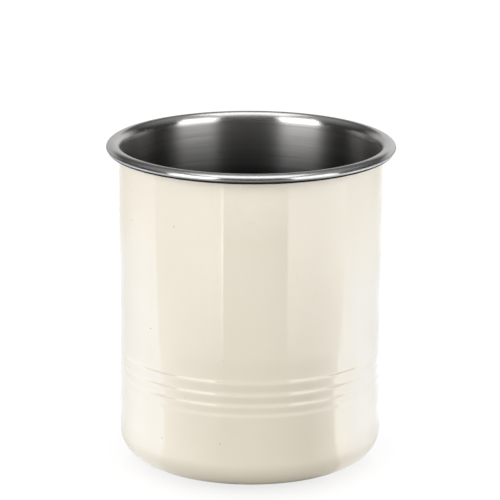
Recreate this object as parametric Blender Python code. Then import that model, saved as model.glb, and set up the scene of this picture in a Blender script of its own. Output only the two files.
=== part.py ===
# Round cutlery holder: a cream jacket, a bare steel liner with a curled rim, and a base pad.
# Units are metres, +Z is up, and the origin is on the axis at the level the holder stands on.

from math import acos, cos, pi, radians, sin, sqrt

import bpy

# Overall sizes
HOLDER_HEIGHT = 0.142
JACKET_RADIUS = 0.0575
RIM_OVERHANG = 0.0055

# Jacket: drawn steel cup, painted cream outside
JACKET_SHEET = 0.0004
JACKET_CORNER_RADIUS = 0.012
UPPER_RIB_HEIGHT = 0.0055
MIDDLE_RIB_HEIGHT = 0.0049
LOWER_RIB_HEIGHT = 0.0042
RIB_DEPTH = 0.0002
LAST_CREASE_DEPTH = 0.0001
RIB_SHOULDER = 0.0015
RIB_EASE_ABOVE = 0.010
RIB_EASE_BELOW = 0.002
FOOT_BAND_HEIGHT = 0.0232
STANDING_RING_WIDTH = 0.006
RECESS_DEPTH = 0.001
RECESS_EASE = 0.0012

# Liner: drawn stainless cup whose top edge curls out over the jacket
LINER_SHEET = 0.0004
CURL_HEIGHT = 0.0043

# Base pad: rubber disc set in the recess under the jacket
PAD_PROUD = 0.001
PAD_SIDE_GAP = 0.0005
PAD_EDGE_RADIUS = 0.0004

# Clearance between pieces that touch on the real object
SEAT_GAP = 0.0003

# Fineness of the turned shapes
TURN_STEPS = 64
EASE_STEPS = 3
CORNER_STEPS = 7
CURL_ROOF_STEPS = 8
CURL_UNDER_STEPS = 6
PAD_EDGE_STEPS = 3
MERGE_DISTANCE = 0.000001

# Colours as linear red, green and blue
CREAM_COLOUR = (0.76, 0.70, 0.57)
STEEL_COLOUR = (0.56, 0.55, 0.53)
RUBBER_COLOUR = (0.035, 0.035, 0.036)

# Ribs, above the corner and the smooth band at the foot of the wall
DEEPEST_CREASE_RADIUS = JACKET_RADIUS - max(RIB_DEPTH, LAST_CREASE_DEPTH)
RIB_BAND_BOTTOM = PAD_PROUD + JACKET_CORNER_RADIUS + FOOT_BAND_HEIGHT
RIB_BAND_TOP = RIB_BAND_BOTTOM + LOWER_RIB_HEIGHT + MIDDLE_RIB_HEIGHT + UPPER_RIB_HEIGHT

# Underside of the jacket: corner, flat standing ring, recess for the pad
RING_OUTER_RADIUS = JACKET_RADIUS - JACKET_CORNER_RADIUS
RING_INNER_RADIUS = RING_OUTER_RADIUS - STANDING_RING_WIDTH
RECESS_RADIUS = RING_INNER_RADIUS - RECESS_EASE
RECESS_HEIGHT = PAD_PROUD + RECESS_DEPTH

# Liner, nested in the jacket: clear of the creases, seated on the recess panel
LINER_OUTER_RADIUS = DEEPEST_CREASE_RADIUS - JACKET_SHEET - SEAT_GAP
LINER_INNER_RADIUS = LINER_OUTER_RADIUS - LINER_SHEET
LINER_UNDERSIDE = RECESS_HEIGHT + JACKET_SHEET + SEAT_GAP
LINER_FLOOR = LINER_UNDERSIDE + LINER_SHEET
LINER_CORNER_RADIUS = max(LINER_INNER_RADIUS - RING_OUTER_RADIUS, LINER_SHEET)

# Curl: an ellipse from the liner's wall over the top to the rim and round beneath
RIM_RADIUS = JACKET_RADIUS + RIM_OVERHANG
CURL_MIDDLE_RADIUS = (LINER_INNER_RADIUS + RIM_RADIUS) / 2
CURL_HALF_WIDTH = (RIM_RADIUS - LINER_INNER_RADIUS) / 2
CURL_HALF_HEIGHT = CURL_HEIGHT / 2
CURL_MIDDLE_HEIGHT = HOLDER_HEIGHT - CURL_HALF_HEIGHT
CURL_END_RADIUS = JACKET_RADIUS + SEAT_GAP + LINER_SHEET / 2


def curl_end_angle():
    """Angle where the curl's outer face stops, just clear of the jacket's wall."""
    share = (CURL_END_RADIUS - CURL_MIDDLE_RADIUS) / CURL_HALF_WIDTH
    return -acos(share)


def jacket_top_height():
    """Height of the jacket's top edge, which is tucked up under the curl."""
    jacket_inner_radius = JACKET_RADIUS - JACKET_SHEET
    inside_half_width = CURL_HALF_WIDTH - LINER_SHEET
    inside_half_height = CURL_HALF_HEIGHT - LINER_SHEET
    share = (jacket_inner_radius - CURL_MIDDLE_RADIUS) / inside_half_width
    roof = CURL_MIDDLE_HEIGHT + inside_half_height * sqrt(1 - share * share)
    return roof - 2 * SEAT_GAP


def arc(middle, half_width, half_height, start, end, steps):
    """Points (radius, height) along a stretch of an ellipse, both ends included."""
    points = []
    for step in range(steps + 1):
        angle = start + (end - start) * step / steps
        radius = middle[0] + half_width * cos(angle)
        height = middle[1] + half_height * sin(angle)
        points.append((radius, height))
    return points


def unit_step(start, end):
    """Direction from one outline point to the next."""
    run = end[0] - start[0]
    rise = end[1] - start[1]
    length = sqrt(run * run + rise * rise)
    return run / length, rise / length


def offset_to_right(path, distance):
    """The path moved sideways by the sheet's thickness, with mitred corners."""
    moved = []
    last = len(path) - 1
    for index, point in enumerate(path):
        before = unit_step(path[max(index - 1, 0)], path[max(index, 1)])
        after = unit_step(path[min(index, last - 1)], path[min(index + 1, last)])
        side = (before[1] + after[1], -before[0] - after[0])
        mitre = 2 * distance / (side[0] * side[0] + side[1] * side[1])
        moved.append((point[0] + side[0] * mitre, point[1] + side[1] * mitre))
    return moved


def ease(start, end):
    """Points of a smooth change of radius from one point to another, without the last."""
    points = []
    for step in range(EASE_STEPS):
        share = step / EASE_STEPS
        turned = share * share * (3 - 2 * share)
        radius = start[0] + (end[0] - start[0]) * turned
        height = start[1] + (end[1] - start[1]) * share
        points.append((radius, height))
    return points


def rib_outline():
    """Ribs with a short shoulder at the top that ease in to the crease below, top to bottom."""
    rib_heights = (UPPER_RIB_HEIGHT, MIDDLE_RIB_HEIGHT, LOWER_RIB_HEIGHT)
    crease_depths = (RIB_DEPTH, RIB_DEPTH, LAST_CREASE_DEPTH)
    crease = (JACKET_RADIUS - RIB_DEPTH, RIB_BAND_TOP)
    points = ease((JACKET_RADIUS, RIB_BAND_TOP + RIB_EASE_ABOVE), crease)
    for rib_height, crease_depth in zip(rib_heights, crease_depths):
        crest = (JACKET_RADIUS, crease[1] - RIB_SHOULDER)
        points.append(crease)
        crease = (JACKET_RADIUS - crease_depth, crease[1] - rib_height)
        points += ease(crest, crease)
    foot = (JACKET_RADIUS, crease[1] - RIB_EASE_BELOW)
    return points + ease(crease, foot) + [foot]


def jacket_section():
    """Cut through the jacket's sheet, from the axis up the inside and down the outside."""
    corner_middle = (RING_OUTER_RADIUS, PAD_PROUD + JACKET_CORNER_RADIUS)
    outside = [(JACKET_RADIUS, jacket_top_height())]
    outside += rib_outline()
    outside += arc(corner_middle, JACKET_CORNER_RADIUS, JACKET_CORNER_RADIUS, 0, -pi / 2, CORNER_STEPS)
    outside.append((RING_INNER_RADIUS, PAD_PROUD))
    outside.append((RECESS_RADIUS, RECESS_HEIGHT))
    outside.append((0, RECESS_HEIGHT))
    inside = offset_to_right(outside, JACKET_SHEET)
    return inside[::-1] + outside


def liner_section():
    """Cut through the liner's sheet, from the axis up the inside, over the curl and down."""
    corner_middle = (LINER_INNER_RADIUS - LINER_CORNER_RADIUS, LINER_FLOOR + LINER_CORNER_RADIUS)
    curl_middle = (CURL_MIDDLE_RADIUS, CURL_MIDDLE_HEIGHT)
    corner = arc(corner_middle, LINER_CORNER_RADIUS, LINER_CORNER_RADIUS, -pi / 2, 0, CORNER_STEPS)
    roof = arc(curl_middle, CURL_HALF_WIDTH, CURL_HALF_HEIGHT, pi, 0, CURL_ROOF_STEPS)
    under = arc(curl_middle, CURL_HALF_WIDTH, CURL_HALF_HEIGHT, 0, curl_end_angle(), CURL_UNDER_STEPS)
    inside = [(0, LINER_FLOOR)] + corner + roof + under[1:]
    outside = offset_to_right(inside, LINER_SHEET)
    return inside + outside[::-1]


def pad_section():
    """Half of the pad's cross section, with rounded edges, from the axis out and down."""
    pad_radius = RECESS_RADIUS - PAD_SIDE_GAP
    pad_top = RECESS_HEIGHT - SEAT_GAP
    edge_radius = min(PAD_EDGE_RADIUS, pad_top / 3)
    upper_middle = (pad_radius - edge_radius, pad_top - edge_radius)
    lower_middle = (pad_radius - edge_radius, edge_radius)
    section = [(0, pad_top)]
    section += arc(upper_middle, edge_radius, edge_radius, pi / 2, 0, PAD_EDGE_STEPS)
    section += arc(lower_middle, edge_radius, edge_radius, 0, -pi / 2, PAD_EDGE_STEPS)
    section.append((0, 0))
    return section


def turned_piece(name, section, material, parent):
    """A section turned round the Z axis into one closed solid."""
    mesh = bpy.data.meshes.new(name)
    corners = [(radius, 0, height) for radius, height in section]
    edges = [(index, index + 1) for index in range(len(corners) - 1)]
    mesh.from_pydata(corners, edges, [])
    mesh.materials.append(material)
    piece = bpy.data.objects.new(name, mesh)
    bpy.context.scene.collection.objects.link(piece)
    piece.parent = parent
    turn = piece.modifiers.new("turn", "SCREW")
    turn.axis = "Z"
    turn.angle = radians(360)
    turn.steps = TURN_STEPS
    turn.render_steps = TURN_STEPS
    turn.use_merge_vertices = True
    turn.merge_threshold = MERGE_DISTANCE
    turn.use_smooth_shade = True
    return piece


def surface(name, colour, roughness, metallic):
    """A plain material; the caller adds what is special to it."""
    material = bpy.data.materials.new(name)
    material.use_nodes = True
    shader = material.node_tree.nodes["Principled BSDF"]
    shader.inputs["Base Color"].default_value = (*colour, 1)
    shader.inputs["Roughness"].default_value = roughness
    shader.inputs["Metallic"].default_value = metallic
    return material, shader


def cream_paint():
    """Glossy stoved paint on the jacket."""
    material, shader = surface("cream_paint", CREAM_COLOUR, 0.3, 0)
    shader.inputs["Coat Weight"].default_value = 1
    shader.inputs["Coat Roughness"].default_value = 0.04
    return material


def brushed_stainless():
    """Bare steel, brushed round the axis."""
    material, shader = surface("brushed_stainless", STEEL_COLOUR, 0.28, 1)
    shader.inputs["Anisotropic"].default_value = 0.6
    return material


def pad_rubber():
    """Dull black rubber."""
    return surface("pad_rubber", RUBBER_COLOUR, 0.85, 0)[0]


def outer_jacket(parent):
    return turned_piece("outer_jacket", jacket_section(), cream_paint(), parent)


def inner_liner(parent):
    return turned_piece("inner_liner", liner_section(), brushed_stainless(), parent)


def base_pad(parent):
    return turned_piece("base_pad", pad_section(), pad_rubber(), parent)


def clear_scene():
    for item in list(bpy.data.objects):
        bpy.data.objects.remove(item, do_unlink=True)


def build_holder():
    clear_scene()
    holder = bpy.data.objects.new("holder_axis", None)
    bpy.context.scene.collection.objects.link(holder)
    outer_jacket(holder)
    inner_liner(holder)
    base_pad(holder)


build_holder()
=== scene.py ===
# %% [markdown]
# # A cream steel kitchen pot
# The real pot is three pieces that nest. A drawn steel cup, stoved with glossy cream paint, is the
# jacket. A bare stainless cup stands inside it, and its top edge is rolled out over the jacket's edge.
# A thin rubber pad under the base keeps the pot from sliding.
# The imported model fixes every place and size, so the lesson starts by loading it as the frame. Each
# fine piece is then modelled in that frame and stands for the plain solid of the same place.

# %% Load the frame
from math import acos, cos, degrees, pi, radians, sin

import bmesh
import bpy
from mathutils import Matrix, Vector


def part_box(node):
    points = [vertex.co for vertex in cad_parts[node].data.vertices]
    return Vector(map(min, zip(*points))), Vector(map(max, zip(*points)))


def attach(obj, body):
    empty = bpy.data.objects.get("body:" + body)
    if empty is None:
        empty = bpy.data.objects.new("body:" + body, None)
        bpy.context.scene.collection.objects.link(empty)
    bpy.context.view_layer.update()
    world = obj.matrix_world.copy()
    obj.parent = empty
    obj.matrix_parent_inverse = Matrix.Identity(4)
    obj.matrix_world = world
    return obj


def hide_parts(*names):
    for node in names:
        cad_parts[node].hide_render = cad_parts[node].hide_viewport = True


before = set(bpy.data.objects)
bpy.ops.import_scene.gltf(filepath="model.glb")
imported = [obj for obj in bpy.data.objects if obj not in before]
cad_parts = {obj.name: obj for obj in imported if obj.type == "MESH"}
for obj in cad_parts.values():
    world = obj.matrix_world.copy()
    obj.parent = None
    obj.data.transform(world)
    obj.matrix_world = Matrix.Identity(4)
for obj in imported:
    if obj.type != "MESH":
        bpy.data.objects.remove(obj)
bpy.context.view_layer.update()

# %% [markdown]
# ## Sizes
# Radii and heights that the solids already hold are measured on them. A hair is kept back all round,
# so that the fine pieces never reach outside the frame's box. The ribs, corners and sheet thicknesses
# can't be read from a box, so they are named here, at the values that the solids were made with. Only
# the curl starts lower on its inner side than the plain solid's.

# %% Sizes read from the frame
HAIR = 0.00001
MM_PER_METRE = 1000
jacket_low, jacket_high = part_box("outer_jacket")
liner_low, liner_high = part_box("inner_liner")
pad_low, pad_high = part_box("base_pad")
JACKET_RADIUS = jacket_high.x
JACKET_FOOT = jacket_low.z
JACKET_TOP = jacket_high.z
RIM_RADIUS = liner_high.x - HAIR
RIM_TOP = liner_high.z - HAIR
PAD_RADIUS = pad_high.x
PAD_FOOT = pad_low.z + HAIR
PAD_TOP = pad_high.z
print(f"jacket {2 * JACKET_RADIUS * MM_PER_METRE:.1f} mm across")
print(f"rim {2 * RIM_RADIUS * MM_PER_METRE:.1f} mm across, top at {RIM_TOP * MM_PER_METRE:.1f} mm")

# %% Sizes named here
SHEET = 0.0004
JACKET_CORNER_RADIUS = 0.012
UPPER_RIB_HEIGHT = 0.0055
MIDDLE_RIB_HEIGHT = 0.0049
LOWER_RIB_HEIGHT = 0.0042
RIB_DEPTH = 0.0002
LAST_CREASE_DEPTH = 0.0001
RIB_SHOULDER = 0.0015
RIB_EASE_ABOVE = 0.010
RIB_EASE_BELOW = 0.002
FOOT_BAND_HEIGHT = 0.0232
STANDING_RING_WIDTH = 0.006
RECESS_DEPTH = 0.001
RECESS_EASE = 0.0012
SEAT_GAP = 0.0003
CURL_HEIGHT = 0.0043
CURL_FLARE_HEIGHT = 0.005
PAD_EDGE_RADIUS = 0.0004

# %% [markdown]
# ## Helpers for modelling by operator
# Operators act on what is selected. Working by hand, one clicks on a face or an edge ring. Here a test
# does the clicking: it looks at where an item lies or which way it faces. A new primitive is selected
# all over, and the loaded frame is too, so each step starts by selecting nothing.

# %% Start a piece
ROUND_STEPS = 256


def start_cylinder(name, radius, foot, top):
    """A closed round bar at its real place, left in edit mode."""
    bpy.ops.object.select_all(action="DESELECT")
    bpy.ops.mesh.primitive_cylinder_add(
        vertices=ROUND_STEPS,
        radius=radius,
        depth=top - foot,
        end_fill_type="NGON",
        location=(0, 0, (foot + top) / 2),
    )
    piece = bpy.context.object
    piece.name = name
    piece.data.name = name
    bpy.ops.object.transform_apply(location=True, rotation=True, scale=True)
    bpy.ops.object.mode_set(mode="EDIT")
    return piece


# %% Select by a test
NEAR = 0.00001
LEVEL_NORMAL = 0.999


def pick(piece, kind, wanted):
    """Selects the vertices, edges or faces that the test wants, and nothing else."""
    bpy.ops.mesh.select_mode(type=kind)
    bpy.ops.mesh.select_all(action="DESELECT")
    shape = bmesh.from_edit_mesh(piece.data)
    items = {"VERT": shape.verts, "EDGE": shape.edges, "FACE": shape.faces}[kind]
    for item in items:
        if wanted(item):
            item.select_set(True)
    shape.select_flush_mode()
    bmesh.update_edit_mesh(piece.data)


def all_at(height):
    """A test for edges and faces that lie wholly at one height."""
    return lambda item: all(abs(corner.co.z - height) < NEAR for corner in item.verts)


def faces_up(face):
    return face.normal.z > LEVEL_NORMAL


def faces_down(face):
    return face.normal.z < -LEVEL_NORMAL


def upright(face):
    return abs(face.normal.z) < 1 - LEVEL_NORMAL


# %% Open, round and hold
ROUND_PROFILE = 0.5
HOLDING_RING_GAP = 0.0004


def open_top(piece):
    pick(piece, "FACE", faces_up)
    bpy.ops.mesh.delete(type="FACE")


def round_edges(radius, segments):
    """Rounds the selected edges."""
    bpy.ops.mesh.bevel(offset=radius, segments=segments, profile=ROUND_PROFILE, affect="EDGES")


def hold_wall(piece, height):
    """Cuts a ring into the upright wall. Close to a curve, it keeps the curve's shading off the wall."""
    pick(piece, "FACE", upright)
    bpy.ops.mesh.bisect(plane_co=(0, 0, height), plane_no=(0, 0, 1), use_fill=False)


# %% Give it a wall and hand it over
SMOOTH_ANGLE = radians(35)


def give_wall(piece, thickness, side):
    """Turns the open sheet into a closed wall; side 1 adds it outside, side -1 inside."""
    bpy.ops.object.mode_set(mode="OBJECT")
    wall = piece.modifiers.new("wall", "SOLIDIFY")
    wall.thickness = thickness
    wall.offset = side
    wall.use_even_offset = True
    bpy.ops.object.modifier_apply(modifier=wall.name)


def hand_over(piece, node):
    """Smooth shading, then the piece takes its node's place on the one body."""
    bpy.ops.object.shade_smooth_by_angle(angle=SMOOTH_ANGLE)
    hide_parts(node)
    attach(piece, "root")
    print(f"{piece.name}: {len(piece.data.polygons)} faces in place of {node}")


# %% [markdown]
# ## Jacket
# The jacket is one drawn cup. It could be turned from a profile with a Screw modifier, but starting
# from a cylinder shows each press step by itself: open the top, round the lower corner with a bevel,
# and press the panel under the base upward with two insets, which leaves a flat ring to stand on.

# %% Draw the cup
CORNER_SEGMENTS = 16
PANEL_RINGS = 4


def close_with_fan(radius):
    """Splits the selected round face into rings and a centre, so that its pole is closed and even."""
    for ring in range(PANEL_RINGS):
        bpy.ops.mesh.inset(thickness=radius / (PANEL_RINGS + 1), depth=0)
    bpy.ops.mesh.poke()


def draw_jacket_cup():
    jacket = start_cylinder("cream_jacket", JACKET_RADIUS, JACKET_FOOT, JACKET_TOP)
    open_top(jacket)
    pick(jacket, "EDGE", all_at(JACKET_FOOT))
    round_edges(JACKET_CORNER_RADIUS, CORNER_SEGMENTS)
    pick(jacket, "FACE", faces_down)
    bpy.ops.mesh.inset(thickness=STANDING_RING_WIDTH, depth=0)
    bpy.ops.mesh.inset(thickness=RECESS_EASE, depth=0)
    bpy.ops.transform.translate(value=(0, 0, RECESS_DEPTH))
    panel_radius = JACKET_RADIUS - JACKET_CORNER_RADIUS - STANDING_RING_WIDTH - RECESS_EASE
    close_with_fan(panel_radius)
    hold_wall(jacket, JACKET_FOOT + JACKET_CORNER_RADIUS + HOLDING_RING_GAP)
    return jacket


cream_jacket = draw_jacket_cup()
print("jacket cup drawn")

# %% [markdown]
# ## Ribs
# Three shallow ribs are rolled into the wall near the foot. Each has a short shoulder at its top, where
# the sheet steps out to the wall's own radius, and then eases back in to the crease under it, by a fifth
# of a millimetre, or half of that at the last crease. The light finds only the shoulders, so they show
# as thin bright lines.
# They could belong to the cup's profile from the start, but rolled in afterwards, as in the workshop,
# they leave the first step plain. The wall is cut above and below the band, the band is divided into
# rings, and each ring is scaled to its radius. The radius follows one smooth curve from crease to crest
# and from crest to crease.

# %% Roll the ribs
RIB_RING_CUTS = 99
RIB_HEIGHTS = (LOWER_RIB_HEIGHT, MIDDLE_RIB_HEIGHT, UPPER_RIB_HEIGHT)
RIB_BAND_BOTTOM = JACKET_FOOT + JACKET_CORNER_RADIUS + FOOT_BAND_HEIGHT
RIB_BAND_TOP = RIB_BAND_BOTTOM + sum(RIB_HEIGHTS)


def smooth(share):
    """Eases from 0 to 1, level at both ends."""
    share = min(max(share, 0), 1)
    return share * share * (3 - 2 * share)


def rib_inset(height):
    """How far the wall lies inside its plain radius at a height."""
    if height > RIB_BAND_TOP:
        return RIB_DEPTH * (1 - smooth((height - RIB_BAND_TOP) / RIB_EASE_ABOVE))
    if height < RIB_BAND_BOTTOM:
        return LAST_CREASE_DEPTH * (1 - smooth((RIB_BAND_BOTTOM - height) / RIB_EASE_BELOW))
    crease = RIB_BAND_BOTTOM
    depth = LAST_CREASE_DEPTH
    for rib in RIB_HEIGHTS:
        if height <= crease + rib:
            break
        crease += rib
        depth = RIB_DEPTH
    crest = crease + rib - RIB_SHOULDER
    if height > crest:
        return RIB_DEPTH * smooth((height - crest) / RIB_SHOULDER)
    return depth * (1 - smooth((height - crease) / (rib - RIB_SHOULDER)))


def roll_ribs(jacket):
    low = RIB_BAND_BOTTOM - RIB_EASE_BELOW
    high = RIB_BAND_TOP + RIB_EASE_ABOVE
    for height in (low - HOLDING_RING_GAP, low, high, high + HOLDING_RING_GAP):
        hold_wall(jacket, height)

    def spans_band(edge):
        lower, upper = sorted(corner.co.z for corner in edge.verts)
        return abs(lower - low) < NEAR and abs(upper - high) < NEAR

    pick(jacket, "EDGE", spans_band)
    bpy.ops.mesh.subdivide(number_cuts=RIB_RING_CUTS)
    for ring in range(1, RIB_RING_CUTS + 1):
        height = low + (high - low) * ring / (RIB_RING_CUTS + 1)
        scale = 1 - rib_inset(height) / JACKET_RADIUS
        pick(jacket, "VERT", lambda corner: abs(corner.co.z - height) < NEAR)
        bpy.ops.transform.resize(value=(scale, scale, 1))


roll_ribs(cream_jacket)
give_wall(cream_jacket, SHEET, -1)
hand_over(cream_jacket, "outer_jacket")

# %% [markdown]
# ## Liner
# The liner is a second drawn cup, a little narrower than the jacket's creases. Its top edge is curled:
# the sheet flares out of the inner wall, over the top, round the rim and back in under it, until it
# almost touches the jacket. A torus laid on the rim would be quicker, but a real curl is the cup's own
# sheet, and its open edge leaves a slit, which the steel's painted shade makes dark. So the top edge loop
# is extruded round an ellipse, taller on its inner side, step by step, as a bead roller would work it.
# The wall goes on last, outward, so that the bright inside keeps its size.

# %% Draw the liner and roll its curl
CURL_ROOF_STEPS = 36
CURL_UNDER_STEPS = 23
LINER_RADIUS = JACKET_RADIUS - RIB_DEPTH - 2 * SHEET - SEAT_GAP
LINER_FLOOR = JACKET_FOOT + RECESS_DEPTH + 2 * SHEET + SEAT_GAP
LINER_CORNER_RADIUS = LINER_RADIUS - (JACKET_RADIUS - JACKET_CORNER_RADIUS)
CURL_HALF_WIDTH = (RIM_RADIUS - LINER_RADIUS) / 2
CURL_HALF_HEIGHT = CURL_HEIGHT / 2
CURL_MIDDLE_RADIUS = LINER_RADIUS + CURL_HALF_WIDTH
CURL_START_HEIGHT = RIM_TOP - CURL_FLARE_HEIGHT
CURL_END_RADIUS = JACKET_RADIUS + SEAT_GAP + SHEET / 2


def curl_point(angle):
    """Radius and height on the curl's outer face."""
    half_height = CURL_FLARE_HEIGHT if angle > pi / 2 else CURL_HALF_HEIGHT
    radius = CURL_MIDDLE_RADIUS + CURL_HALF_WIDTH * cos(angle)
    height = RIM_TOP - half_height * (1 - sin(angle))
    return radius, height


def roll_edge(start, end, steps):
    """Extrudes the selected edge ring along the curl from one angle to another."""
    radius, height = curl_point(start)
    for step in range(1, steps + 1):
        next_radius, next_height = curl_point(start + (end - start) * step / steps)
        rise = next_height - height
        bpy.ops.mesh.extrude_edges_move(TRANSFORM_OT_translate={"value": (0, 0, rise)})
        scale = next_radius / radius
        bpy.ops.transform.resize(value=(scale, scale, 1))
        radius, height = next_radius, next_height


def draw_liner():
    liner = start_cylinder("steel_liner", LINER_RADIUS, LINER_FLOOR, CURL_START_HEIGHT)
    open_top(liner)
    pick(liner, "EDGE", all_at(LINER_FLOOR))
    round_edges(LINER_CORNER_RADIUS, CORNER_SEGMENTS)
    pick(liner, "FACE", faces_down)
    close_with_fan(LINER_RADIUS - LINER_CORNER_RADIUS)
    hold_wall(liner, LINER_FLOOR + LINER_CORNER_RADIUS + HOLDING_RING_GAP)
    hold_wall(liner, CURL_START_HEIGHT - HOLDING_RING_GAP)
    pick(liner, "EDGE", all_at(CURL_START_HEIGHT))
    curl_end = -acos((CURL_END_RADIUS - CURL_MIDDLE_RADIUS) / CURL_HALF_WIDTH)
    roll_edge(pi, 0, CURL_ROOF_STEPS)
    roll_edge(0, curl_end, CURL_UNDER_STEPS)
    return liner


steel_liner = draw_liner()
give_wall(steel_liner, SHEET, 1)
hand_over(steel_liner, "inner_liner")

# %% [markdown]
# ## Pad
# The pad is a stamped rubber disc with softened edges. It sits in the panel under the jacket and
# stands proud of the flat ring by a millimetre, so the pot rests on it. Seen from a table, it is only
# the thin dark line of the gap, but it is a piece of its own, so it is finished on both faces.

# %% Stamp the pad
PAD_EDGE_SEGMENTS = 4


def stamp_pad():
    pad = start_cylinder("foot_pad", PAD_RADIUS, PAD_FOOT, PAD_TOP)
    flat_ends = [PAD_FOOT, PAD_TOP]
    pick(pad, "EDGE", lambda edge: any(all_at(height)(edge) for height in flat_ends))
    round_edges(PAD_EDGE_RADIUS, PAD_EDGE_SEGMENTS)
    for side in (faces_up, faces_down):
        pick(pad, "FACE", lambda face: side(face) and len(face.verts) == ROUND_STEPS)
        close_with_fan(PAD_RADIUS - PAD_EDGE_RADIUS)
    bpy.ops.object.mode_set(mode="OBJECT")
    return pad


foot_pad = stamp_pad()
hand_over(foot_pad, "base_pad")

# %% [markdown]
# ## Node groups shared by the finishes
# No surface is one flat colour. Paint, steel and rubber all vary a little from place to place, and all
# have a fine relief. The drift and the relief are node groups, built once and placed in a material with
# its own values. Paint and rubber use both, and the steel uses the relief and draws its own fine lines.
# They read Object coordinates, in metres, so a pattern keeps its real size on every piece.

# %% Helpers for nodes
def place(tree, kind, label, **settings):
    """Adds a node under a plain name."""
    node = tree.nodes.new(kind)
    node.name = label
    node.label = label
    for setting, value in settings.items():
        setattr(node, setting, value)
    return node


def wire(tree, source, target):
    tree.links.new(source, target)


def new_group(name, inputs, outputs):
    """A shader node group with named sockets, each given as a name and a type."""
    group = bpy.data.node_groups.new(name, "ShaderNodeTree")
    for direction, sockets in (("INPUT", inputs), ("OUTPUT", outputs)):
        for socket_name, socket_type in sockets.items():
            group.interface.new_socket(socket_name, in_out=direction, socket_type=socket_type)
    start = place(group, "NodeGroupInput", "in")
    end = place(group, "NodeGroupOutput", "out")
    return group, start, end


def use_group(tree, group, label, spot, **values):
    """Places a group in a material, at the piece's own coordinates, and gives its one output."""
    node = place(tree, "ShaderNodeGroup", label)
    node.node_tree = group
    wire(tree, spot, node.inputs["Place"])
    for socket_name, value in values.items():
        node.inputs[socket_name].default_value = value
    return node.outputs[0]


# %% Soft variation between two values
VECTOR = "NodeSocketVector"
NUMBER = "NodeSocketFloat"
CLOUD_DETAIL = 3
CLOUD_LOW = 0.3
CLOUD_HIGH = 0.7


def make_variation():
    """A cloudy value that drifts between Low and High."""
    inputs = {"Place": VECTOR, "Scale": NUMBER, "Low": NUMBER, "High": NUMBER}
    group, start, end = new_group("soft variation", inputs, {"Value": NUMBER})
    noise = place(group, "ShaderNodeTexNoise", "cloud")
    noise.inputs["Detail"].default_value = CLOUD_DETAIL
    spread = place(group, "ShaderNodeMapRange", "spread", interpolation_type="SMOOTHSTEP")
    spread.inputs["From Min"].default_value = CLOUD_LOW
    spread.inputs["From Max"].default_value = CLOUD_HIGH
    wire(group, start.outputs["Place"], noise.inputs["Vector"])
    wire(group, start.outputs["Scale"], noise.inputs["Scale"])
    wire(group, noise.outputs["Fac"], spread.inputs["Value"])
    wire(group, start.outputs["Low"], spread.inputs["To Min"])
    wire(group, start.outputs["High"], spread.inputs["To Max"])
    wire(group, spread.outputs["Result"], end.inputs["Value"])
    return group


soft_variation = make_variation()
print("group:", soft_variation.name)

# %% Fine relief
GRAIN_DETAIL = 2


def make_relief():
    """A normal that waves or grains the surface, Depth metres deep."""
    inputs = {"Place": VECTOR, "Scale": NUMBER, "Depth": NUMBER}
    group, start, end = new_group("fine relief", inputs, {"Normal": VECTOR})
    noise = place(group, "ShaderNodeTexNoise", "grain")
    noise.inputs["Detail"].default_value = GRAIN_DETAIL
    bump = place(group, "ShaderNodeBump", "relief")
    wire(group, start.outputs["Place"], noise.inputs["Vector"])
    wire(group, start.outputs["Scale"], noise.inputs["Scale"])
    wire(group, noise.outputs["Fac"], bump.inputs["Height"])
    wire(group, start.outputs["Depth"], bump.inputs["Distance"])
    wire(group, bump.outputs["Normal"], end.inputs["Normal"])
    return group


fine_relief = make_relief()
print("group:", fine_relief.name)


# %% Start a material
def start_material(name, colour, roughness, metallic):
    """A material with its Principled shader, Object coordinates and the plain values set."""
    material = bpy.data.materials.new(name)
    material.use_nodes = True
    tree = material.node_tree
    shader = tree.nodes["Principled BSDF"]
    shader.inputs["Base Color"].default_value = (*colour, 1)
    shader.inputs["Roughness"].default_value = roughness
    shader.inputs["Metallic"].default_value = metallic
    spot = place(tree, "ShaderNodeTexCoord", "place on the piece").outputs["Object"]
    return material, tree, shader, spot


# %% Helpers that shape a value
def feed(tree, value, target):
    """Wires a socket in, or sets a plain number or colour."""
    if isinstance(value, bpy.types.NodeSocket):
        wire(tree, value, target)
    elif isinstance(value, tuple):
        target.default_value = (*value, 1)
    else:
        target.default_value = value


def map_range(tree, label, source, start, end, low, high):
    """Maps a socket's value from one range to another, held at both ends."""
    node = place(tree, "ShaderNodeMapRange", label)
    node.inputs["From Min"].default_value = start
    node.inputs["From Max"].default_value = end
    node.inputs["To Min"].default_value = low
    node.inputs["To Max"].default_value = high
    wire(tree, source, node.inputs["Value"])
    return node.outputs["Result"]


def math_node(tree, label, operation, first, second=None):
    """A Math node on one or two sockets or numbers."""
    node = place(tree, "ShaderNodeMath", label, operation=operation)
    feed(tree, first, node.inputs[0])
    if second is not None:
        feed(tree, second, node.inputs[1])
    return node.outputs["Value"]


def blend_values(tree, label, amount, first, second, kind="FLOAT"):
    """Mixes two numbers or sockets by a socket's value."""
    mix = place(tree, "ShaderNodeMix", label, data_type=kind)
    wire(tree, amount, mix.inputs["Factor"])
    feed(tree, first, mix.inputs["A"])
    feed(tree, second, mix.inputs["B"])
    return mix.outputs["Result"]


def blend_colours(tree, label, amount, first, second):
    """Mixes two colours or sockets by a socket's value."""
    return blend_values(tree, label, amount, first, second, "RGBA")


# %% [markdown]
# ## Cream paint
# Stoved enamel is a pigmented layer with a hard, clear, mirror-smooth skin. A base with a soft sheen
# under a Coat says exactly that. The skin is not quite flat: it has the faint waves that painters call
# orange peel, which make the edges of reflections wander a little. The tone drifts by a percent or two
# over some centimetres, and a few dust specks were caught when the paint was wet.
# Seen aslant, a flawless skin would mirror the white table almost fully, and the pot's outline would be
# lost in it. The real skin breaks that mirror up, so a Layer Weight node lowers the Coat there.

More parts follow.
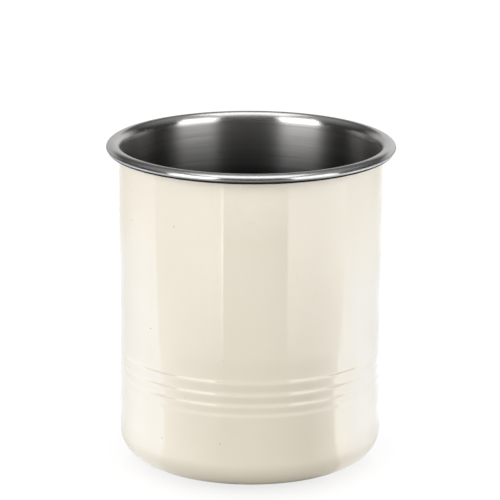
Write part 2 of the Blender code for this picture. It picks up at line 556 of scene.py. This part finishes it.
# %% Specks and a skin that softens
SPECK_CELLS = 70
SPECK_SIZE = 0.02
FACING_BLEND = 0.5
SLANT = (0.3, 0.8)
SLANT_COAT = (1.0, 0.15)


def specks(tree, spot):
    """1 on a few small specks and 0 elsewhere."""
    cells = place(tree, "ShaderNodeTexVoronoi", "speck places")
    cells.inputs["Scale"].default_value = SPECK_CELLS
    wire(tree, spot, cells.inputs["Vector"])
    return math_node(tree, "speck", "LESS_THAN", cells.outputs["Distance"], SPECK_SIZE)


def coat_by_slant(tree):
    """The skin's weight: full where the paint faces the eye, low where it is seen aslant."""
    facing = place(tree, "ShaderNodeLayerWeight", "how slanted the view is")
    facing.inputs["Blend"].default_value = FACING_BLEND
    return map_range(tree, "softer gloss aslant", facing.outputs["Facing"], *SLANT, *SLANT_COAT)


# %% Make the cream paint
CREAM = (0.765, 0.705, 0.585)
CREAM_DEEP = (0.745, 0.683, 0.560)
SPECK = (0.30, 0.24, 0.17)
DRIFT_SCALE = 28
PAINT_ROUGHNESS = 0.32
SHEEN_SCALE = 60
SHEEN_LOW = 0.28
SHEEN_HIGH = 0.38
PEEL_SCALE = 160
PEEL_DEPTH = 0.00005
PAINT_SPECULAR = 0.1
COAT_ROUGHNESS = 0.04
COAT_IOR = 1.55


def cream_paint():
    material, tree, shader, spot = start_material("cream_paint", CREAM, PAINT_ROUGHNESS, 0)
    drift = use_group(tree, soft_variation, "tone drift", spot, Scale=DRIFT_SCALE, Low=0, High=1)
    tone = blend_colours(tree, "cream tones", drift, CREAM, CREAM_DEEP)
    dusted = blend_colours(tree, "dusted cream", specks(tree, spot), tone, SPECK)
    wire(tree, dusted, shader.inputs["Base Color"])
    sheen_values = {"Scale": SHEEN_SCALE, "Low": SHEEN_LOW, "High": SHEEN_HIGH}
    sheen = use_group(tree, soft_variation, "sheen drift", spot, **sheen_values)
    wire(tree, sheen, shader.inputs["Roughness"])
    peel = use_group(tree, fine_relief, "orange peel", spot, Scale=PEEL_SCALE, Depth=PEEL_DEPTH)
    wire(tree, peel, shader.inputs["Normal"])
    wire(tree, peel, shader.inputs["Coat Normal"])
    wire(tree, coat_by_slant(tree), shader.inputs["Coat Weight"])
    shader.inputs["Specular IOR Level"].default_value = PAINT_SPECULAR
    shader.inputs["Coat Roughness"].default_value = COAT_ROUGHNESS
    shader.inputs["Coat IOR"].default_value = COAT_IOR
    return material


cream_jacket.data.materials.append(cream_paint())
print("cream paint on", cream_jacket.name)

# %% [markdown]
# ## Brushed stainless steel
# The liner is finished with an abrasive held against it while it turns, so its scratches run round the
# axis. They are much finer than a camera sees, but they spread each reflection upward and downward,
# and hardly sideways. Anisotropic does this: its long direction is set across the scratches with a
# radial tangent and a quarter turn. Single coarser scratches do show. On the wall they lie at one
# height, and on the floor and the curl's top at one radius, so the lines read the height where the
# sheet is upright and the radius where it lies flat.
# The curl is smooth, because hands and the rolling tool have polished it, and keeps the steel's full
# colour. The inside grows rougher with depth, and so does the curl's outer flank on its way down. Both
# are also darkened with painted shade, and in the slit between curl and jacket the painted shade is
# nearly black. A black metal would still shine when it is seen aslant, so in the slit the shader is no
# metal, and its specular level is 0.

# %% Draw the turned lines
LINE_COUNT_PER_METRE = 2200
LINE_RUN_PER_METRE = 14
LINE_STRETCH = (LINE_RUN_PER_METRE, LINE_RUN_PER_METRE, LINE_COUNT_PER_METRE)
LINE_DETAIL = 2
FLAT = (1, 1, 0)


def lines_along(tree, label, parts, measure):
    """Noise drawn out round the axis and packed tight along a measure: the height or the radius."""
    spread = place(tree, "ShaderNodeCombineXYZ", label + " across")
    wire(tree, parts.outputs["X"], spread.inputs["X"])
    wire(tree, parts.outputs["Y"], spread.inputs["Y"])
    wire(tree, measure, spread.inputs["Z"])
    stretch = place(tree, "ShaderNodeMapping", label + " stretched")
    stretch.inputs["Scale"].default_value = LINE_STRETCH
    wire(tree, spread.outputs["Vector"], stretch.inputs["Vector"])
    noise = place(tree, "ShaderNodeTexNoise", label)
    noise.inputs["Scale"].default_value = 1
    noise.inputs["Detail"].default_value = LINE_DETAIL
    wire(tree, stretch.outputs["Vector"], noise.inputs["Vector"])
    return noise.outputs["Fac"]


def turned_lines(tree, spot):
    """Lines round the axis, as a value from 0 to 1, with the height and the radius they follow."""
    parts = place(tree, "ShaderNodeSeparateXYZ", "parts")
    wire(tree, spot, parts.inputs["Vector"])
    height = parts.outputs["Z"]
    flat = place(tree, "ShaderNodeVectorMath", "flat place", operation="MULTIPLY")
    flat.inputs[1].default_value = FLAT
    wire(tree, spot, flat.inputs[0])
    length = place(tree, "ShaderNodeVectorMath", "radius", operation="LENGTH")
    wire(tree, flat.outputs["Vector"], length.inputs[0])
    radius = length.outputs["Value"]
    facing = place(tree, "ShaderNodeNewGeometry", "facing")
    tilt = place(tree, "ShaderNodeSeparateXYZ", "tilt")
    wire(tree, facing.outputs["Normal"], tilt.inputs["Vector"])
    level = math_node(tree, "how level", "ABSOLUTE", tilt.outputs["Z"])
    on_wall = lines_along(tree, "lines on the wall", parts, height)
    on_flat = lines_along(tree, "lines on the flat", parts, radius)
    return blend_values(tree, "wall or flat", level, on_wall, on_flat), height, radius


# %% Painted shade and relief of the steel
# Painted shade: the steel's colour grows darker with depth inside the liner.
PAINTED_SHADE_DEPTH = (0.112, 0.1385)
PAINTED_SHADE_SHARE = (0.06, 1.0)
# Painted shade: the curl's outer flank grows darker on its way down.
FLANK_SHADE_HEIGHT = (0.1397, 0.1406)
FLANK_SHADE_SHARE = (0.35, 1.0)
# Painted shade: nearly black in the slit under the curl.
SLIT_SHADE_HEIGHT = (0.1389, 0.1396)
SLIT_SHADE_SHARE = (0.1, 1.0)
LINE_DEPTH = 0.000005
WAVE_SCALE = 60
WAVE_DEPTH = 0.00002


def steel_painted_shade(tree, height, outside):
    """Painted shade: full colour on the curl, darker with depth inside, down the flank outside and in the
    slit.
    """
    inner = map_range(tree, "painted shade with depth", height, *PAINTED_SHADE_DEPTH, *PAINTED_SHADE_SHARE)
    flank = map_range(tree, "painted shade on the outer flank", height, *FLANK_SHADE_HEIGHT, *FLANK_SHADE_SHARE)
    tucked = map_range(tree, "painted shade under the curl", height, *SLIT_SHADE_HEIGHT, *SLIT_SHADE_SHARE)
    outer = math_node(tree, "outer face", "MULTIPLY", flank, tucked)
    return blend_values(tree, "brightness", outside, inner, outer)


def line_relief(tree, spot, lines):
    """The scratches' relief, laid over the slow waves of drawn sheet."""
    wave = use_group(tree, fine_relief, "sheet waves", spot, Scale=WAVE_SCALE, Depth=WAVE_DEPTH)
    bump = place(tree, "ShaderNodeBump", "line relief")
    bump.inputs["Distance"].default_value = LINE_DEPTH
    wire(tree, lines, bump.inputs["Height"])
    wire(tree, wave, bump.inputs["Normal"])
    return bump.outputs["Normal"]


# %% Make the brushed steel
STEEL = (0.62, 0.61, 0.60)
STEEL_DEEP = (0.54, 0.535, 0.525)
STEEL_SHADE = (0.012, 0.012, 0.013)
STEEL_ROUGHNESS = 0.3
OUTER_RADIUS = (0.0598, 0.0606)
LINE_TONE = (0.35, 0.65)
LINE_SPREAD = (0.3, 0.7)
LINE_ROUGHNESS = (0.19, 0.26)
POLISH_HEIGHT = (0.1365, 0.1395)
POLISH_SHARE = (1.6, 1.0)
BRUSHING = 0.9
QUARTER_TURN = 0.25


def brushed_stainless():
    material, tree, shader, spot = start_material("brushed_stainless", STEEL, STEEL_ROUGHNESS, 1)
    lines, height, radius = turned_lines(tree, spot)
    outside = map_range(tree, "outside", radius, *OUTER_RADIUS, 0, 1)
    tone = map_range(tree, "line tone", lines, *LINE_TONE, 0, 1)
    steel = blend_colours(tree, "steel tones", tone, STEEL_DEEP, STEEL)
    # Painted shade darkens the steel's colour inside, down the curl's outer flank and in the slit under
    # it.
    bright = steel_painted_shade(tree, height, outside)
    shaded = blend_colours(tree, "shaded steel", bright, STEEL_SHADE, steel)
    wire(tree, shaded, shader.inputs["Base Color"])
    # In the painted shade of the slit the steel is no metal, so it stays dark when seen aslant.
    bare = map_range(tree, "metal above the shaded slit", height, *SLIT_SHADE_HEIGHT, 0, 1)
    wire(tree, blend_values(tree, "metal except the shaded slit", outside, 1, bare), shader.inputs["Metallic"])
    dull = map_range(tree, "line roughness", lines, *LINE_SPREAD, *LINE_ROUGHNESS)
    polish = map_range(tree, "curl polish", height, *POLISH_HEIGHT, *POLISH_SHARE)
    polished = math_node(tree, "polished roughness", "MULTIPLY", dull, polish)
    wire(tree, polished, shader.inputs["Roughness"])
    wire(tree, line_relief(tree, spot, lines), shader.inputs["Normal"])
    tangent = place(tree, "ShaderNodeTangent", "round the axis", direction_type="RADIAL", axis="Z")
    wire(tree, tangent.outputs["Tangent"], shader.inputs["Tangent"])
    shader.inputs["Specular IOR Level"].default_value = 0
    shader.inputs["Anisotropic"].default_value = BRUSHING
    shader.inputs["Anisotropic Rotation"].default_value = QUARTER_TURN
    return material


steel_liner.data.materials.append(brushed_stainless())
print("brushed steel on", steel_liner.name)

# %% [markdown]
# ## Rubber
# The pad's rubber is a dull near-black with a moulded grain. One flat colour would pass while the pot
# stands, but not when it is turned over. So the pad uses the same two groups as the paint, at a finer
# scale and with a deeper relief.

# %% Make the rubber
RUBBER = (0.030, 0.030, 0.031)
RUBBER_WORN = (0.055, 0.054, 0.053)
BLOOM_SCALE = 120
RUBBER_ROUGHNESS = 0.8
PATCH_SCALE = 300
PATCH_LOW = 0.72
PATCH_HIGH = 0.9
RUBBER_GRAIN_SCALE = 1800
RUBBER_GRAIN_DEPTH = 0.00008


def pad_rubber():
    material, tree, shader, spot = start_material("pad_rubber", RUBBER, RUBBER_ROUGHNESS, 0)
    bloom = use_group(tree, soft_variation, "bloom", spot, Scale=BLOOM_SCALE, Low=0, High=1)
    tone = blend_colours(tree, "rubber tones", bloom, RUBBER, RUBBER_WORN)
    wire(tree, tone, shader.inputs["Base Color"])
    patch_values = {"Scale": PATCH_SCALE, "Low": PATCH_LOW, "High": PATCH_HIGH}
    dull = use_group(tree, soft_variation, "dull patches", spot, **patch_values)
    wire(tree, dull, shader.inputs["Roughness"])
    grain_values = {"Scale": RUBBER_GRAIN_SCALE, "Depth": RUBBER_GRAIN_DEPTH}
    grain = use_group(tree, fine_relief, "moulded grain", spot, **grain_values)
    wire(tree, grain, shader.inputs["Normal"])
    return material


foot_pad.data.materials.append(pad_rubber())
print("rubber on", foot_pad.name)

# %% [markdown]
# ## The table as gloss sees it
# The upright wall mirrors a light table: a white sheet lit from below, with soft boxes on it. Sheet and
# boxes could be lamps and objects, but they would also light the paint's matt layer. So they are a
# painted reflection: a picture drawn on the floor as a glow for gloss rays alone. A spot's direction
# round the pot decides where across the wall it is mirrored, and its distance decides how high.
# Behind a line just in front of the pot's middle the table is lit, brightest to the sides and a little
# cooler near the pot. In front of that line it is dark, and two upright soft boxes stand on it, one to
# the left and one to the right, with crisp inner edges. A thin bright line runs along the left one's.
# Close to the pot the boxes melt into the table's own sheen, and where the pot almost touches the table
# it is shaded. Far away, which is high on the wall, the front and the boxes grow brighter and the lit
# table a little dimmer. Past the table's edge there is only a dim glow.

# %% Places on the floor
WALL_LEAN = 0.07


def distance_from_axis(tree):
    spot = place(tree, "ShaderNodeTexCoord", "place on the floor")
    length = place(tree, "ShaderNodeVectorMath", "distance from the pot", operation="LENGTH")
    wire(tree, spot.outputs["Object"], length.inputs[0])
    return length.outputs["Value"]


def mirrored_turn(tree, across, along, away):
    """The direction, turned from the front, in which the wall looks when it mirrors this spot."""
    ahead = math_node(tree, "ahead", "MULTIPLY", along, -1)
    angle = math_node(tree, "angle round the pot", "ARCTAN2", across, ahead)
    turn = math_node(tree, "turn from the front", "ABSOLUTE", angle)
    half = math_node(tree, "half turn", "DIVIDE", turn, 2)
    lean = math_node(tree, "lean", "MULTIPLY", math_node(tree, "sine", "SINE", half), WALL_LEAN)
    near_lean = math_node(tree, "near lean", "DIVIDE", lean, away)
    return math_node(tree, "mirrored turn", "ADD", turn, near_lean)


# %% [markdown]
# Turns and edges are angles from the camera's side, and fronts, starts and falls are places in metres.
# A glow of 1 is white. Slopes, shares, boosts and coolness are plain factors. A pair gives the values at
# the two ends of a soft step.

# %% The two sides of the table
LEFT_SIDE = {
    "table front": (-0.071, -0.065),
    "front slope": -0.075,
    "edge": (radians(23.3), radians(24.3)),
    "box start": (0.22, 0.42),
    "box turn": (radians(40), radians(80)),
    "box glow": (3.05, 2.75),
    "sheen turn": (radians(20), radians(78)),
    "sheen glow": 2.95,
    "table turn": (radians(110), radians(144)),
    "table glow": (3.55, 1.75),
    "table fall": (0.38, 0.46),
    "fall share": 0.93,
    "front boost": 1.16,
    "cool at front": 1.0,
    "line glow": 2.4,
}
RIGHT_SIDE = {
    "table front": (-0.081, -0.075),
    "front slope": 0.092,
    "edge": (radians(32), radians(33)),
    "box start": (0.18, 0.46),
    "box turn": (radians(40), radians(80)),
    "box glow": (3.4, 4.2),
    "sheen turn": (radians(52), radians(100)),
    "sheen glow": 4.0,
    "table turn": (radians(112), radians(142)),
    "table glow": (4.1, 2.3),
    "table fall": (0.33, 0.42),
    "fall share": 0.94,
    "front boost": 1.15,
    "cool at front": 0.0,
    "line glow": 0.0,
}
for side in (LEFT_SIDE, RIGHT_SIDE):
    print(f"soft box's edge {degrees(side['edge'][0]):.1f} degrees round")

# %% The soft boxes in front
FRONT_REACH = (0.47, 0.57)
BOX_RISE = (1.0, 1.15)
EDGE_LINE = (radians(24.3), radians(26.3))


def table_front(tree, name, side, away, turn, plain):
    """The plain dark front, and inside the edge the upright box with the sheen at its foot."""
    far = map_range(tree, name + " box's foot", away, *side["box start"], 0, 1)
    box = map_range(tree, name + " box", turn, *side["box turn"], *side["box glow"])
    rise = map_range(tree, name + " box rise", away, *FRONT_REACH, *BOX_RISE)
    box = math_node(tree, name + " box with its rise", "MULTIPLY", box, rise)
    sheen_share = map_range(tree, name + " sheen share", turn, *side["sheen turn"], 0, 1)
    sheen = blend_values(tree, name + " sheen", sheen_share, plain, side["sheen glow"])
    lit_front = blend_values(tree, name + " front", far, sheen, box)
    inside = map_range(tree, "inside the " + name + " edge", turn, *side["edge"], 0, 1)
    front = blend_values(tree, name + " and plain front", inside, plain, lit_front)
    line = map_range(tree, name + " edge line", turn, *EDGE_LINE, side["line glow"], 0)
    line = math_node(tree, name + " line on the box", "MULTIPLY", line, inside)
    line = math_node(tree, name + " line away from the foot", "MULTIPLY", line, far)
    return math_node(tree, name + " front with its line", "ADD", front, line)


# %% The lit table behind
TABLE_TURN = (radians(78), radians(82))
NEAR_FRONT = (radians(84), radians(108))


def table_side(tree, name, side, where, plain):
    """One side's glow and coolness: the front, and behind its line the lit table."""
    across, along, away, turn = where
    slant = math_node(tree, name + " front's slant", "MULTIPLY", across, side["front slope"])
    set_back = math_node(tree, name + " set back", "SUBTRACT", along, slant)
    behind = map_range(tree, "behind the " + name + " front", set_back, *side["table front"], 0, 1)
    turned = map_range(tree, name + " of the front", turn, *TABLE_TURN, 0, 1)
    behind = math_node(tree, name + " lit part", "MULTIPLY", behind, turned)
    lit = map_range(tree, name + " lit table", turn, *side["table turn"], *side["table glow"])
    near = map_range(tree, name + " table near the pot", away, *side["table fall"], 1, 0)
    lit_share = map_range(tree, name + " table fall", near, 0, 1, side["fall share"], 1)
    lit = math_node(tree, name + " table with its fall", "MULTIPLY", lit, lit_share)
    boost = map_range(tree, name + " near the front", turn, *NEAR_FRONT, side["front boost"], 1)
    lit = math_node(tree, name + " table with its boost", "MULTIPLY", lit, boost)
    front = table_front(tree, name, side, away, turn, plain)
    glow = blend_values(tree, name + " side", behind, front, lit)
    cool = map_range(tree, name + " cool by turn", turn, *NEAR_FRONT, side["cool at front"], 1)
    cool = math_node(tree, name + " cool near the pot", "MULTIPLY", cool, near)
    return glow, math_node(tree, name + " coolness", "MULTIPLY", behind, cool)


# %% The whole table
FOOT_REACH = (0.11, 0.23)
FOOT_SHARE = (0.2, 1.0)
FRONT_GLOW = (1.15, 2.9)
CONTACT_REACH = (0.060, 0.105)
CONTACT_SHARE = (0.35, 1.0)
TABLE_END = (0.58, 0.68)
TABLE_END_GLOW = 0.4
PLAIN_WHITE = (1, 1, 1)
COOL = (0.92, 0.99, 1.12)


def table_in_gloss(tree):
    """How bright the table is to gloss, by the mirrored direction and the distance, and its colour."""
    spot = place(tree, "ShaderNodeTexCoord", "place on the table")
    parts = place(tree, "ShaderNodeSeparateXYZ", "across and along")
    wire(tree, spot.outputs["Object"], parts.inputs["Vector"])
    across, along = parts.outputs["X"], parts.outputs["Y"]
    away = distance_from_axis(tree)
    turn = mirrored_turn(tree, across, along, away)
    # The dark at the foot and the contact shade below are painted shade within the painted reflection.
    foot = map_range(tree, "dark at the foot", away, *FOOT_REACH, *FOOT_SHARE)
    front = map_range(tree, "front glow", away, *FRONT_REACH, *FRONT_GLOW)
    plain = math_node(tree, "plain front", "MULTIPLY", front, foot)
    where = (across, along, away, turn)
    left_glow, left_cool = table_side(tree, "left", LEFT_SIDE, where, plain)
    right_glow, right_cool = table_side(tree, "right", RIGHT_SIDE, where, plain)
    on_right = math_node(tree, "right of the pot", "GREATER_THAN", across, 0)
    table = blend_values(tree, "table", on_right, left_glow, right_glow)
    cool = blend_values(tree, "cool table", on_right, left_cool, right_cool)
    contact = map_range(tree, "contact shade", away, *CONTACT_REACH, *CONTACT_SHARE)
    shaded = math_node(tree, "shaded table", "MULTIPLY", table, contact)
    end = map_range(tree, "table end", away, *TABLE_END, 0, 1)
    glow = blend_values(tree, "table to its end", end, shaded, TABLE_END_GLOW)
    return glow, blend_colours(tree, "table colour", cool, PLAIN_WHITE, COOL)


# %% [markdown]
# ## Floor
# Three kinds of ray need three answers from the floor, and Light Path tells them apart. The camera sees
# a white glow with a little matt white, which holds the pot's shadow, and a faint mirror close round
# the foot. The light that the floor throws back on the pot comes from a matt sheet, darker in front of
# the pot than behind it, with a pale ring round the foot that keeps the lower corner light. Gloss sees
# the table's pattern.

# %% What the camera sees of the floor
FLOOR_CATCH = 0.08
GLOW_REACH = (0.15, 0.50)
FLOOR_GLOW = (0.97, 1.0)
MIRROR_ROUGHNESS = 0.05
MIRROR_REACH = (0.048, 0.085)
FLOOR_MIRROR = 0.2


def mix_shaders(tree, label, amount, first, second):
    mix = place(tree, "ShaderNodeMixShader", label)
    wire(tree, amount, mix.inputs["Fac"])
    wire(tree, first, mix.inputs[1])
    wire(tree, second, mix.inputs[2])
    return mix.outputs["Shader"]


def floor_for_the_camera(tree):
    """White glow, shadow catcher and faint mirror."""
    away = distance_from_axis(tree)
    catch = place(tree, "ShaderNodeBsdfDiffuse", "shadow catcher")
    catch.inputs["Color"].default_value = (FLOOR_CATCH, FLOOR_CATCH, FLOOR_CATCH, 1)
    glow = place(tree, "ShaderNodeEmission", "white glow")
    wire(tree, map_range(tree, "glow", away, *GLOW_REACH, *FLOOR_GLOW), glow.inputs["Strength"])
    both = place(tree, "ShaderNodeAddShader", "glow and shadow")
    wire(tree, catch.outputs["BSDF"], both.inputs[0])
    wire(tree, glow.outputs["Emission"], both.inputs[1])
    mirror = place(tree, "ShaderNodeBsdfAnisotropic", "mirror")
    mirror.inputs["Roughness"].default_value = MIRROR_ROUGHNESS
    amount = map_range(tree, "mirror fade", away, *MIRROR_REACH, FLOOR_MIRROR, 0)
    return mix_shaders(tree, "seen floor", amount, both.outputs["Shader"], mirror.outputs["BSDF"])


# %% What the floor throws back
FLOOR_TURN = (-0.05, 0.08)
FLOOR_TONES = (0.10, 0.55)
RING_TURN = (-0.055, -0.02)
RING_TONES = (0.46, 1.0)
RING_REACH = (0.068, 0.088)


def matt_sheet(tree):
    """The sheet that light bounces off: dark to pale from front to back, with its pale ring."""
    pale = place(tree, "ShaderNodeBsdfDiffuse", "pale floor")
    spot = place(tree, "ShaderNodeTexCoord", "place on the sheet")
    parts = place(tree, "ShaderNodeSeparateXYZ", "along the floor")
    wire(tree, spot.outputs["Object"], parts.inputs["Vector"])
    along = parts.outputs["Y"]
    tone = map_range(tree, "floor tone", along, *FLOOR_TURN, *FLOOR_TONES)
    ring = map_range(tree, "pale ring", distance_from_axis(tree), *RING_REACH, 1, 0)
    ring_tone = map_range(tree, "ring tone", along, *RING_TURN, *RING_TONES)
    wire(tree, blend_values(tree, "ringed floor", ring, tone, ring_tone), pale.inputs["Color"])
    return pale.outputs["BSDF"]


# %% Lay the floor
FLOOR_SIZE = 12


def seen_directly(tree, path):
    """1 for what the camera sees, also through glass."""
    camera_ray = path.outputs["Is Camera Ray"]
    glass_ray = path.outputs["Is Transmission Ray"]
    return math_node(tree, "camera or glass", "MAXIMUM", camera_ray, glass_ray)


def white_floor():
    material = bpy.data.materials.new("white_floor")
    material.use_nodes = True
    material.cycles.emission_sampling = "NONE"
    tree = material.node_tree
    tree.nodes.clear()
    path = place(tree, "ShaderNodeLightPath", "ray")
    # The table's glow is a painted reflection, seen by gloss rays alone.
    table = place(tree, "ShaderNodeEmission", "table in gloss")
    table_glow, table_colour = table_in_gloss(tree)
    wire(tree, table_glow, table.inputs["Strength"])
    wire(tree, table_colour, table.inputs["Color"])
    gloss_ray = path.outputs["Is Glossy Ray"]
    by_gloss = mix_shaders(tree, "gloss or light", gloss_ray, matt_sheet(tree), table.outputs["Emission"])
    final = mix_shaders(tree, "by ray", seen_directly(tree, path), by_gloss, floor_for_the_camera(tree))
    wire(tree, final, place(tree, "ShaderNodeOutputMaterial", "out").inputs["Surface"])
    return material


bpy.ops.object.select_all(action="DESELECT")
bpy.ops.mesh.primitive_plane_add(size=FLOOR_SIZE, location=(0, 0, 0))
floor = bpy.context.object
floor.name = "floor"
floor.data.materials.append(white_floor())
print("floor", FLOOR_SIZE, "m wide")

# %% [markdown]
# ## Studio
# The light is plain: three big soft panels, one to each side of the camera and one overhead, and an
# even glow from all round. A panel's power is worked out from how bright its face should look, with 1
# as white.

# %% Hang the soft panels
AIM = Vector((0, 0, 0.07))
PANEL_DISTANCE = 1.2


def soft_panel(name, azimuth, elevation, width, height, brightness):
    """A rectangular lamp aimed at the pot. Azimuth 0 is the camera's side and turns to the right."""
    turn, rise = radians(azimuth), radians(elevation)
    outward = Vector((sin(turn) * cos(rise), -cos(turn) * cos(rise), sin(rise)))
    lamp = bpy.data.lights.new(name, "AREA")
    lamp.shape = "RECTANGLE"
    lamp.size = width
    lamp.size_y = height
    lamp.energy = brightness * pi * width * height
    holder = bpy.data.objects.new(name, lamp)
    bpy.context.scene.collection.objects.link(holder)
    holder.location = AIM + outward * PANEL_DISTANCE
    holder.rotation_euler = (-outward).to_track_quat("-Z", "Y").to_euler()
    print(f"{name}: {lamp.energy:.1f} W")


soft_panel("left panel", azimuth=-47, elevation=14, width=0.8, height=1.3, brightness=3.8)
soft_panel("right panel", azimuth=52, elevation=14, width=0.8, height=1.3, brightness=2.75)
soft_panel("overhead panel", azimuth=0, elevation=88, width=0.9, height=0.9, brightness=1.65)

# %% [markdown]
# The gloss of the steel needs something to look at, so the room that it sees has a pale backdrop behind
# the pot, whiter to the right, under a dim ceiling. A white band crosses it straight behind the pot. On
# the camera's side the room is dark below and a soft grey above. The camera itself sees plain white.

# %% The room that gloss sees
BEHIND = (0.5, 0.8)
FRONT_RISE = (0.35, 0.8)
FRONT_WALL = (0.04, 0.45)
BACKDROP_TURN = (-0.25, 0.25)
BACKDROP = (0.70, 1.0)
BACKDROP_FADE = (0.30, 0.45)
CEILING = 0.12
BAND_FOOT = (0.28, 0.30)
BAND_TOP = (0.36, 0.42)
BAND_BEHIND = (0.90, 0.93)


def room_in_gloss(tree):
    """How bright the room is to gloss, by the direction in which it looks."""
    direction = place(tree, "ShaderNodeTexCoord", "direction")
    parts = place(tree, "ShaderNodeSeparateXYZ", "parts")
    wire(tree, direction.outputs["Generated"], parts.inputs["Vector"])
    rightward, backward, upward = parts.outputs
    behind = map_range(tree, "behind the pot", backward, *BEHIND, 0, 1)
    front = map_range(tree, "front wall", upward, *FRONT_RISE, *FRONT_WALL)
    backdrop = map_range(tree, "backdrop", rightward, *BACKDROP_TURN, *BACKDROP)
    high = map_range(tree, "backdrop to ceiling", upward, *BACKDROP_FADE, 0, 1)
    back = blend_values(tree, "backdrop and ceiling", high, backdrop, CEILING)
    above = map_range(tree, "above the band's foot", upward, *BAND_FOOT, 0, 1)
    below = map_range(tree, "below the band's top", upward, *BAND_TOP, 1, 0)
    band = math_node(tree, "band's height", "MULTIPLY", above, below)
    straight = map_range(tree, "straight behind", backward, *BAND_BEHIND, 0, 1)
    band = math_node(tree, "white band", "MULTIPLY", band, straight)
    back = blend_values(tree, "back of the room", band, back, 1)
    return blend_values(tree, "room in gloss", behind, front, back)


# %% Put the room round the pot
ROOM_GLOW = 0.70


def studio_world():
    world = bpy.data.worlds.new("studio")
    world.use_nodes = True
    world.cycles.sampling_method = "NONE"
    tree = world.node_tree
    tree.nodes.clear()
    path = place(tree, "ShaderNodeLightPath", "ray")
    gloss_ray = path.outputs["Is Glossy Ray"]
    lit = blend_values(tree, "glow or gloss", gloss_ray, ROOM_GLOW, room_in_gloss(tree))
    strength = blend_values(tree, "white for the camera", seen_directly(tree, path), lit, 1)
    background = place(tree, "ShaderNodeBackground", "room")
    wire(tree, strength, background.inputs["Strength"])
    out = place(tree, "ShaderNodeOutputWorld", "out")
    wire(tree, background.outputs["Background"], out.inputs["Surface"])
    return world


bpy.context.scene.world = studio_world()
print("world:", bpy.context.scene.world.name)

# %% [markdown]
# ## Camera
# The photograph was taken with a long lens, a little above the rim. The camera's place, its aim and
# its lens come from fitting the outlines of the rim, the wall and the foot. The picture is square.

# %% Set up the camera
CAMERA_PLACE = Vector((0, -1.300, 0.448283))
CAMERA_AIM = Vector((-0.000287, 0, 0.092971))
CAMERA_ROLL = 0.004
SENSOR_WIDTH = 36.0
PICTURE_WIDTH = 500
FOCAL_PIXELS = 3072.5


def set_camera():
    lens = bpy.data.cameras.new("camera")
    lens.sensor_width = SENSOR_WIDTH
    lens.lens = SENSOR_WIDTH * FOCAL_PIXELS / PICTURE_WIDTH
    camera = bpy.data.objects.new("camera", lens)
    bpy.context.scene.collection.objects.link(camera)
    turn = (CAMERA_AIM - CAMERA_PLACE).to_track_quat("-Z", "Y")
    camera.location = CAMERA_PLACE
    camera.rotation_mode = "QUATERNION"
    camera.rotation_quaternion = turn @ Matrix.Rotation(CAMERA_ROLL, 3, "Z").to_quaternion()
    bpy.context.scene.camera = camera
    print(f"lens {lens.lens:.1f} mm")


set_camera()
bpy.context.scene.view_settings.view_transform = "Standard"
